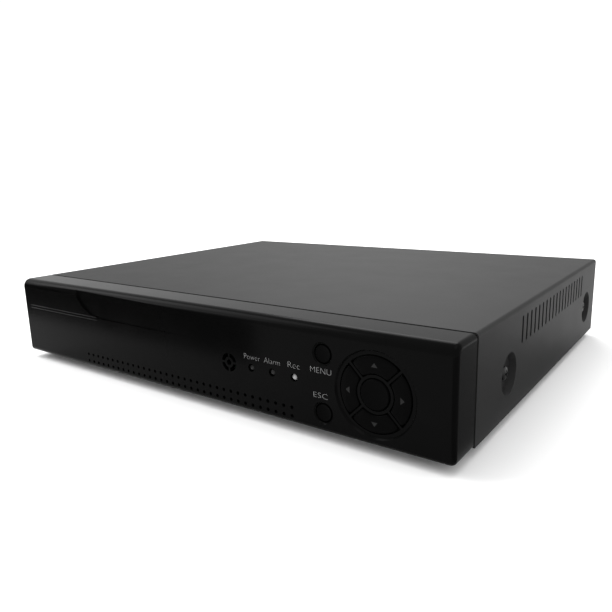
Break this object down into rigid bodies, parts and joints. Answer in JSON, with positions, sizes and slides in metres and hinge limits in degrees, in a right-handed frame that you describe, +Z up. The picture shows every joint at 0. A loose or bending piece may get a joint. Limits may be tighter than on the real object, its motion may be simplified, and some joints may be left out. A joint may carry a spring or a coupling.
{
  "type": "dvr recorder",
  "caption": "Flat black desktop video recorder: bent steel cover with side vents, moulded front with keys, arrow pad and lamps, rear jacks, hard disk inside.",
  "frame": {"origin": "under the middle of the whole part, bezel face to jack tips, at the level the feet stand on", "axes": "+X to the right seen from the front, +Y from the front to the back, +Z up"},
  "size_m": [0.255, 0.2154, 0.045],
  "materials": {
    "powder_coat": "satin black powder coat with a fine texture",
    "tray_paint": "matt black paint",
    "screw_black": "black oxide",
    "screw_zinc": "zinc plated",
    "bezel_gloss": "polished black moulding",
    "key_plastic": "satin black moulding",
    "rubber": "matt rubber",
    "lamp_lens": "diffused lens, unlit",
    "lamp_lit": "diffused white lens",
    "epoxy": "moulded epoxy",
    "circuit_board": "green solder mask",
    "brass_post": "turned",
    "can_sleeve": "heat-shrunk sleeve",
    "header_plastic": "ivory nylon",
    "bare_aluminium": "extruded",
    "cell_steel": "stainless can",
    "jack_plastic": "black moulding",
    "nickel": "nickel plate",
    "jack_insulator": "white insulator",
    "gold_contact": "gold flashed",
    "cast_aluminium": "cast and machined",
    "brushed_lid": "brushed",
    "mirror_disk": "polished",
    "cable_red": "ribbed jacket",
    "cable_black": "jacket",
    "ribbon_grey": "flat ribbon"
  },
  "bodies": {
    "chassis": {"alarm_lamp": "lamp_lens", "audio_block": "jack_plastic", "audio_shells": "nickel", "base_tray": "tray_paint", "bezel_screws": "screw_zinc", "board_chips": "epoxy", "board_headers": "header_plastic", "board_screws": "screw_zinc", "board_standoffs": "brass_post", "buzzer": "epoxy", "capacitors": "can_sleeve", "coax_block": "jack_plastic", "coax_contacts": "gold_contact", "coax_insulators": "jack_insulator", "coax_shells": "nickel", "coin_cell": "cell_steel", "coin_cell_holder": "header_plastic", "cover_screws": "screw_black", "disk_board": "circuit_board", "disk_case": "cast_aluminium", "disk_data_cable": "cable_red", "disk_lid": "brushed_lid", "disk_power_cable": "cable_black", "disk_screws": "screw_zinc", "foot_front_left": "rubber", "foot_front_right": "rubber", "foot_rear_left": "rubber", "foot_rear_right": "rubber", "front_bezel": "bezel_gloss", "front_board": "circuit_board", "front_ribbon": "ribbon_grey", "hdmi_port": "nickel", "heatsink": "bare_aluminium", "infrared_receiver": "epoxy", "lan_port": "nickel", "main_board": "circuit_board", "power_jack": "jack_plastic", "power_lamp": "lamp_lens", "processor_chip": "epoxy", "record_lamp": "lamp_lit", "switch_bodies": "epoxy", "top_cover": "powder_coat", "usb_port": "nickel", "vga_port": "nickel"},
    "menu_key": {"menu_button": "key_plastic", "menu_switch_stem": "header_plastic"},
    "escape_key": {"escape_button": "key_plastic", "escape_switch_stem": "header_plastic"},
    "enter_key": {"enter_button": "key_plastic", "enter_switch_stem": "header_plastic"},
    "up_key": {"up_button": "key_plastic", "up_switch_stem": "header_plastic"},
    "down_key": {"down_button": "key_plastic", "down_switch_stem": "header_plastic"},
    "left_key": {"left_button": "key_plastic", "left_switch_stem": "header_plastic"},
    "right_key": {"right_button": "key_plastic", "right_switch_stem": "header_plastic"},
    "platter": {"disk_platter": "mirror_disk"},
    "head_arm": {"disk_arm": "bare_aluminium"}
  },
  "joints": [
    {"name": "menu_press", "type": "slide", "parent": "chassis", "child": "menu_key", "axis": [0, 1, 0], "range_m": [0, 0.0005], "stiffness_N_per_m": 3200},
    {"name": "escape_press", "type": "slide", "parent": "chassis", "child": "escape_key", "axis": [0, 1, 0], "range_m": [0, 0.0005], "stiffness_N_per_m": 3200},
    {"name": "enter_press", "type": "slide", "parent": "chassis", "child": "enter_key", "axis": [0, 1, 0], "range_m": [0, 0.0005], "stiffness_N_per_m": 3200},
    {"name": "up_press", "type": "slide", "parent": "chassis", "child": "up_key", "axis": [0, 1, 0], "range_m": [0, 0.0005], "stiffness_N_per_m": 3200},
    {"name": "down_press", "type": "slide", "parent": "chassis", "child": "down_key", "axis": [0, 1, 0], "range_m": [0, 0.0005], "stiffness_N_per_m": 3200},
    {"name": "left_press", "type": "slide", "parent": "chassis", "child": "left_key", "axis": [0, 1, 0], "range_m": [0, 0.0005], "stiffness_N_per_m": 3200},
    {"name": "right_press", "type": "slide", "parent": "chassis", "child": "right_key", "axis": [0, 1, 0], "range_m": [0, 0.0005], "stiffness_N_per_m": 3200},
    {"name": "platter_spin", "type": "hinge", "parent": "chassis", "child": "platter", "pos_m": [-0.0662, -0.03215, 0.0188], "axis": [0, 0, 1], "continuous": true},
    {"name": "arm_swing", "type": "hinge", "parent": "chassis", "child": "head_arm", "pos_m": [-0.0162, -0.06015, 0.0208], "axis": [0, 0, 1], "range_deg": [0, 30]}
  ]
}
